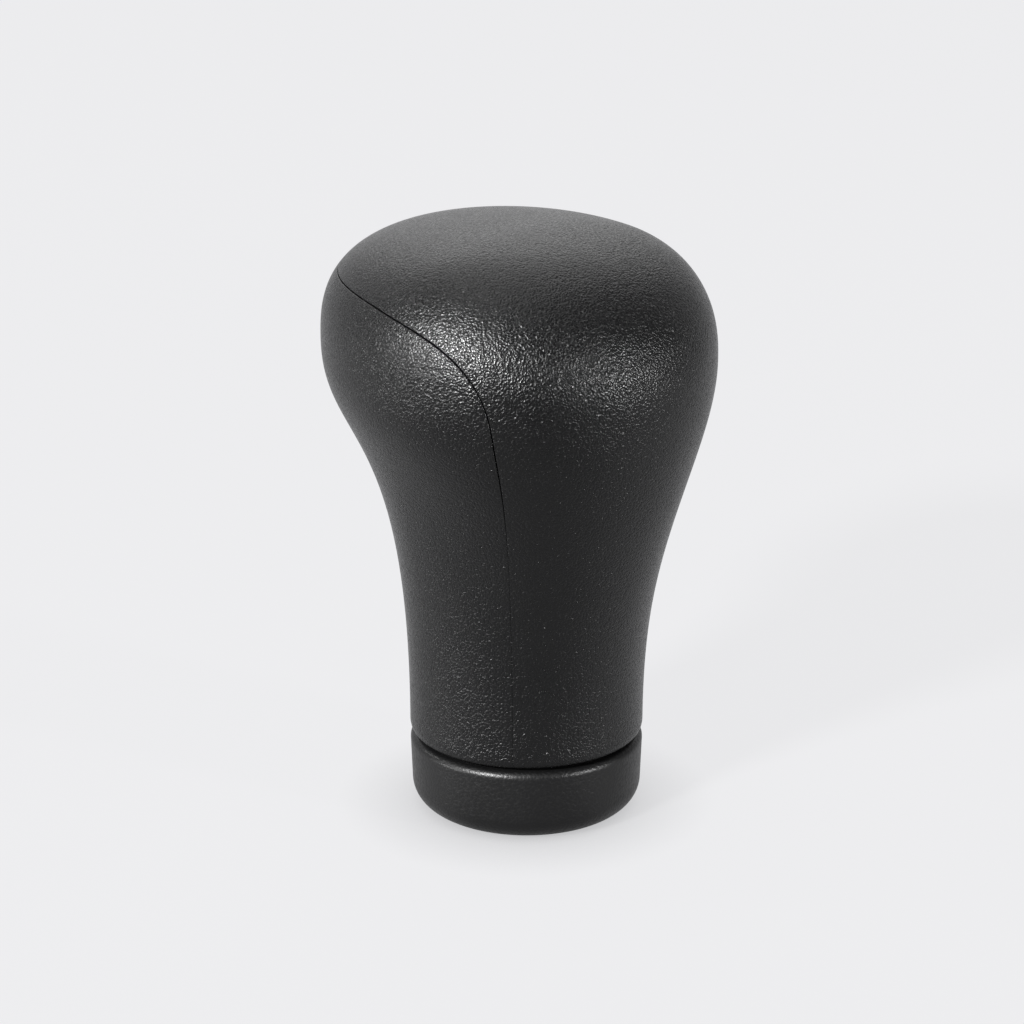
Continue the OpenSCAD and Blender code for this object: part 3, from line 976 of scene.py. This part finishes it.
@dataclass
class Studio:
    """Bright table that runs into a back wall, with dim surroundings and soft lights; lengths in metres."""

    camera: PhotoCamera = PhotoCamera()
    aim: Vector = field(default_factory=lambda: Vector((0.0, 0.0, 0.06)))
    half_width: float = 2.5
    front: float = 0.16
    back: float = 2.2
    wall: float = 1.0
    bend: float = 0.5
    paper_colour: tuple[float, float, float] = (0.02, 0.02, 0.0202)
    glow_colour: tuple[float, float, float] = (1.0, 1.0, 1.018)
    glow: float = 0.79
    side_glow: float = 0.66
    front_glow: float = 0.48
    front_fade: tuple[float, float] = (-0.92, -0.55)
    # Painted contact shadow: share of the glow's colour taken away close under the knob, and how far it
    # reaches
    painted_shadow_share: float = 0.38
    painted_shadow_reach: float = 0.011
    backdrop: float = 0.838
    world_radiance: float = 0.22
    lights: tuple[SoftLight, ...] = (
        SoftLight("key_light", -40.5, 29.5, 0.42, 0.28, 840.0),
        SoftLight("low_light", -78.0, 1.0, 0.5, 0.25, 85.0),
        SoftLight("side_light", -112.0, 29.0, 0.5, 0.35, 18.0),
        SoftLight("fill_light", 59.0, 14.0, 0.3, 0.3, 310.0),
        SoftLight("top_light", 182.0, 34.0, 2.2, 1.5, 1.58, 1.9),
        SoftLight("roof_light", -150.0, 80.0, 1.2, 1.2, 3.0, 1.9),
    )

    def directions(self) -> tuple[Array, Array]:
        """Level directions from the camera's azimuth.

        Returns:
            Unit vectors to the right of the camera, and ahead of it.
        """
        azimuth = np.radians(self.camera.azimuth_deg)
        right = np.array([np.cos(azimuth), np.sin(azimuth), 0.0])
        ahead = np.array([-np.sin(azimuth), np.cos(azimuth), 0.0])
        return right, ahead

    def sweep(self) -> bpy.types.Object:
        """Builds the table and wall as one curved sheet, turned to the camera's azimuth.

        The sheet's section runs level from the front edge, through a quarter circle of radius bend, and
        up the wall.

        Returns:
            The sheet.
        """
        turn = np.linspace(0, np.pi / 2, 17)
        away = np.concatenate([[-self.front], self.back - self.bend + self.bend * np.sin(turn), [self.back]])
        lift = np.concatenate([[0.0], self.bend * (1 - np.cos(turn)), [self.wall]])
        right, ahead = self.directions()
        line = away[:, None] * ahead + lift[:, None] * np.array([0.0, 0.0, 1.0])
        points = np.concatenate([line - self.half_width * right, line + self.half_width * right])
        count = len(line)
        faces = [(i, i + count, i + count + 1, i + 1) for i in range(count - 1)]
        return make_object("studio_sweep", points / MM, faces, 60.0)

    def paper(self) -> bpy.types.Material:
        """Builds the lit paper: its glow holds a painted contact shadow, a little weaker where something
        stands close above it.

        The glow is stronger towards the camera than towards the knob, as in a picture with a cleared
        background, and the knob sees it weaker on the camera's side, which a real room leaves darker.

        Returns:
            The material.
        """
        made = bpy.data.materials.new("studio_paper")
        made.use_nodes = True
        net = NodeTree(made.node_tree)
        leave = net.add("ShaderNodeOutputMaterial")
        shader = net.add("ShaderNodeBsdfPrincipled")
        shader.inputs["Base Color"].default_value = (*self.paper_colour, 1.0)
        shader.inputs["Roughness"].default_value = 1.0
        shader.inputs["Specular IOR Level"].default_value = 0.0
        seen = net.add("ShaderNodeLightPath")
        where = net.add("ShaderNodeTexCoord")
        depth = net.add("ShaderNodeVectorMath", operation="DOT_PRODUCT")
        depth.inputs[1].default_value = (*self.directions()[1].tolist(),)
        away = net.add("ShaderNodeVectorMath", operation="NORMALIZE")
        net.join(where.outputs["Object"], away.inputs[0])
        net.join(away.outputs["Vector"], depth.inputs[0])
        fade = net.add("ShaderNodeMapRange", interpolation_type="SMOOTHSTEP")
        fade.inputs["From Min"].default_value = self.front_fade[0]
        fade.inputs["From Max"].default_value = self.front_fade[1]
        fade.inputs["To Min"].default_value = self.front_glow
        fade.inputs["To Max"].default_value = self.side_glow
        net.join(depth.outputs["Value"], fade.inputs["Value"])
        extra = net.maths("SUBTRACT", self.glow, fade.outputs[0])
        strength = net.maths("MULTIPLY_ADD", seen.outputs["Is Camera Ray"], extra, fade.outputs[0])
        net.join(strength, shader.inputs["Emission Strength"])
        # Painted contact shadow: ambient occlusion darkens the glow's colour where something stands close
        # above the paper
        painted_shadow = net.add("ShaderNodeAmbientOcclusion", samples=2)
        painted_shadow.inputs["Distance"].default_value = self.painted_shadow_reach
        mix = net.add("ShaderNodeMix", data_type="RGBA")
        mix.inputs[6].default_value = (*[c * (1 - self.painted_shadow_share) for c in self.glow_colour], 1.0)
        mix.inputs[7].default_value = (*self.glow_colour, 1.0)
        net.join(painted_shadow.outputs["AO"], mix.inputs[0])
        net.join(mix.outputs[2], shader.inputs["Emission Color"])
        net.join(shader.outputs[0], leave.inputs["Surface"])
        return made

    def surroundings(self) -> bpy.types.World:
        """Builds the world: as pale as the paper where the camera sees it, and dim round the knob.

        Returns:
            The world.
        """
        made = bpy.data.worlds.new("studio")
        made.use_nodes = True
        net = NodeTree(made.node_tree)
        leave = net.add("ShaderNodeOutputWorld")
        shine = net.add("ShaderNodeBackground")
        shine.inputs["Color"].default_value = (*self.glow_colour, 1.0)
        seen = net.add("ShaderNodeLightPath")
        extra = self.backdrop - self.world_radiance
        strength = net.maths("MULTIPLY_ADD", seen.outputs["Is Camera Ray"], extra, self.world_radiance)
        net.join(strength, shine.inputs["Strength"])
        net.join(shine.outputs[0], leave.inputs["Surface"])
        return made

    def build(self) -> None:
        """Makes the sheet, the world and the lights."""
        scene = bpy.context.scene
        scene.view_settings.view_transform = "Standard"
        sheet = self.sweep()
        sheet.data.materials.append(self.paper())
        scene.world = self.surroundings()
        for light in self.lights:
            light.build(self.camera.azimuth_deg, self.aim)


@dataclass
class Knob:
    """The whole knob: its new pieces, its carried-over pieces and their finishes."""

    form: KnobForm
    edge: ShellEdge = ShellEdge()
    shell_finish: GrainFinish = GrainFinish(
        "grained_plastic", (0.0014, 0.0014, 0.0015), 0.3, 0.0003, 0.000088, 0.16, 0.28)
    collar_finish: GrainFinish = GrainFinish(
        "collar_plastic", (0.0018, 0.0018, 0.0019), 0.41, 0.0004, 0.00003, 0.5, 0.28)
    core_finish: PlainFinish = PlainFinish("core_plastic", (0.075, 0.075, 0.078), 0.5, 0.0, 0.0012, 0.00001)
    liner_finish: PlainFinish = PlainFinish("soft_liner", (0.02, 0.02, 0.02), 0.75, 0.0, 0.0006, 0.00002)
    spring_finish: PlainFinish = PlainFinish("spring_steel", (0.6, 0.61, 0.63), 0.28, 1.0, 0.0004, 0.000003)

    def dress(self, piece: bpy.types.Object, body: Body, finish: GrainFinish, node: str) -> None:
        """Gives a new piece its finish and its body, and hides the node that it stands for.

        Args:
            piece: the new piece.
            body: body that it rides on.
            finish: its finish.
            node: node that it stands for.
        """
        piece.data.materials.append(finish.material())
        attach(piece, body.value)
        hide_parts(node)
        faces = len(piece.data.polygons)
        LOG.info("%s: %d faces, stands for %s", piece.name, faces, node)

    def carry_over(self, node: str, finish: PlainFinish) -> None:
        """Gives a piece that stays as built its finish.

        Args:
            node: node of the piece.
            finish: its finish.
        """
        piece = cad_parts[node]
        piece.data.materials.clear()
        piece.data.materials.append(finish.material())
        LOG.info("%s: kept, in %s", node, finish.slot)

    def build(self) -> None:
        """Builds and dresses every piece."""
        parting = PartingLine(self.form)
        crown = Shell("crown_moulding", self.form, parting, self.edge, 1)
        grip = Shell("grip_moulding", self.form, parting, self.edge, -1)
        self.dress(crown.build(across=121, rows=(90, 130), level_z=parting.turn_z, spread_deg=(43.5, 88.0)),
                   Body.KNOB, self.shell_finish, "crown_shell")
        self.dress(grip.build(across=151, rows=(70, 140), level_z=45.0, spread_deg=(136.5, 100.0)),
                   Body.KNOB, self.shell_finish, "grip_shell")
        self.dress(Collar().build("collar_moulding"), Body.COLLAR, self.collar_finish, "locking_collar")
        self.carry_over("core_hub", self.core_finish)
        self.carry_over("lever_bush", self.liner_finish)
        self.carry_over("finger_spring", self.spring_finish)


def main() -> None:
    """Builds the studio and the knob, in order."""
    logging.basicConfig(level=logging.INFO, format="%(name)s: %(message)s")
    studio = Studio()
    studio.camera.build()
    studio.build()
    knob = Knob(KnobForm(top=CAD_BOX[1][2] / MM))
    knob.build()


if __name__ == "__main__":
    main()
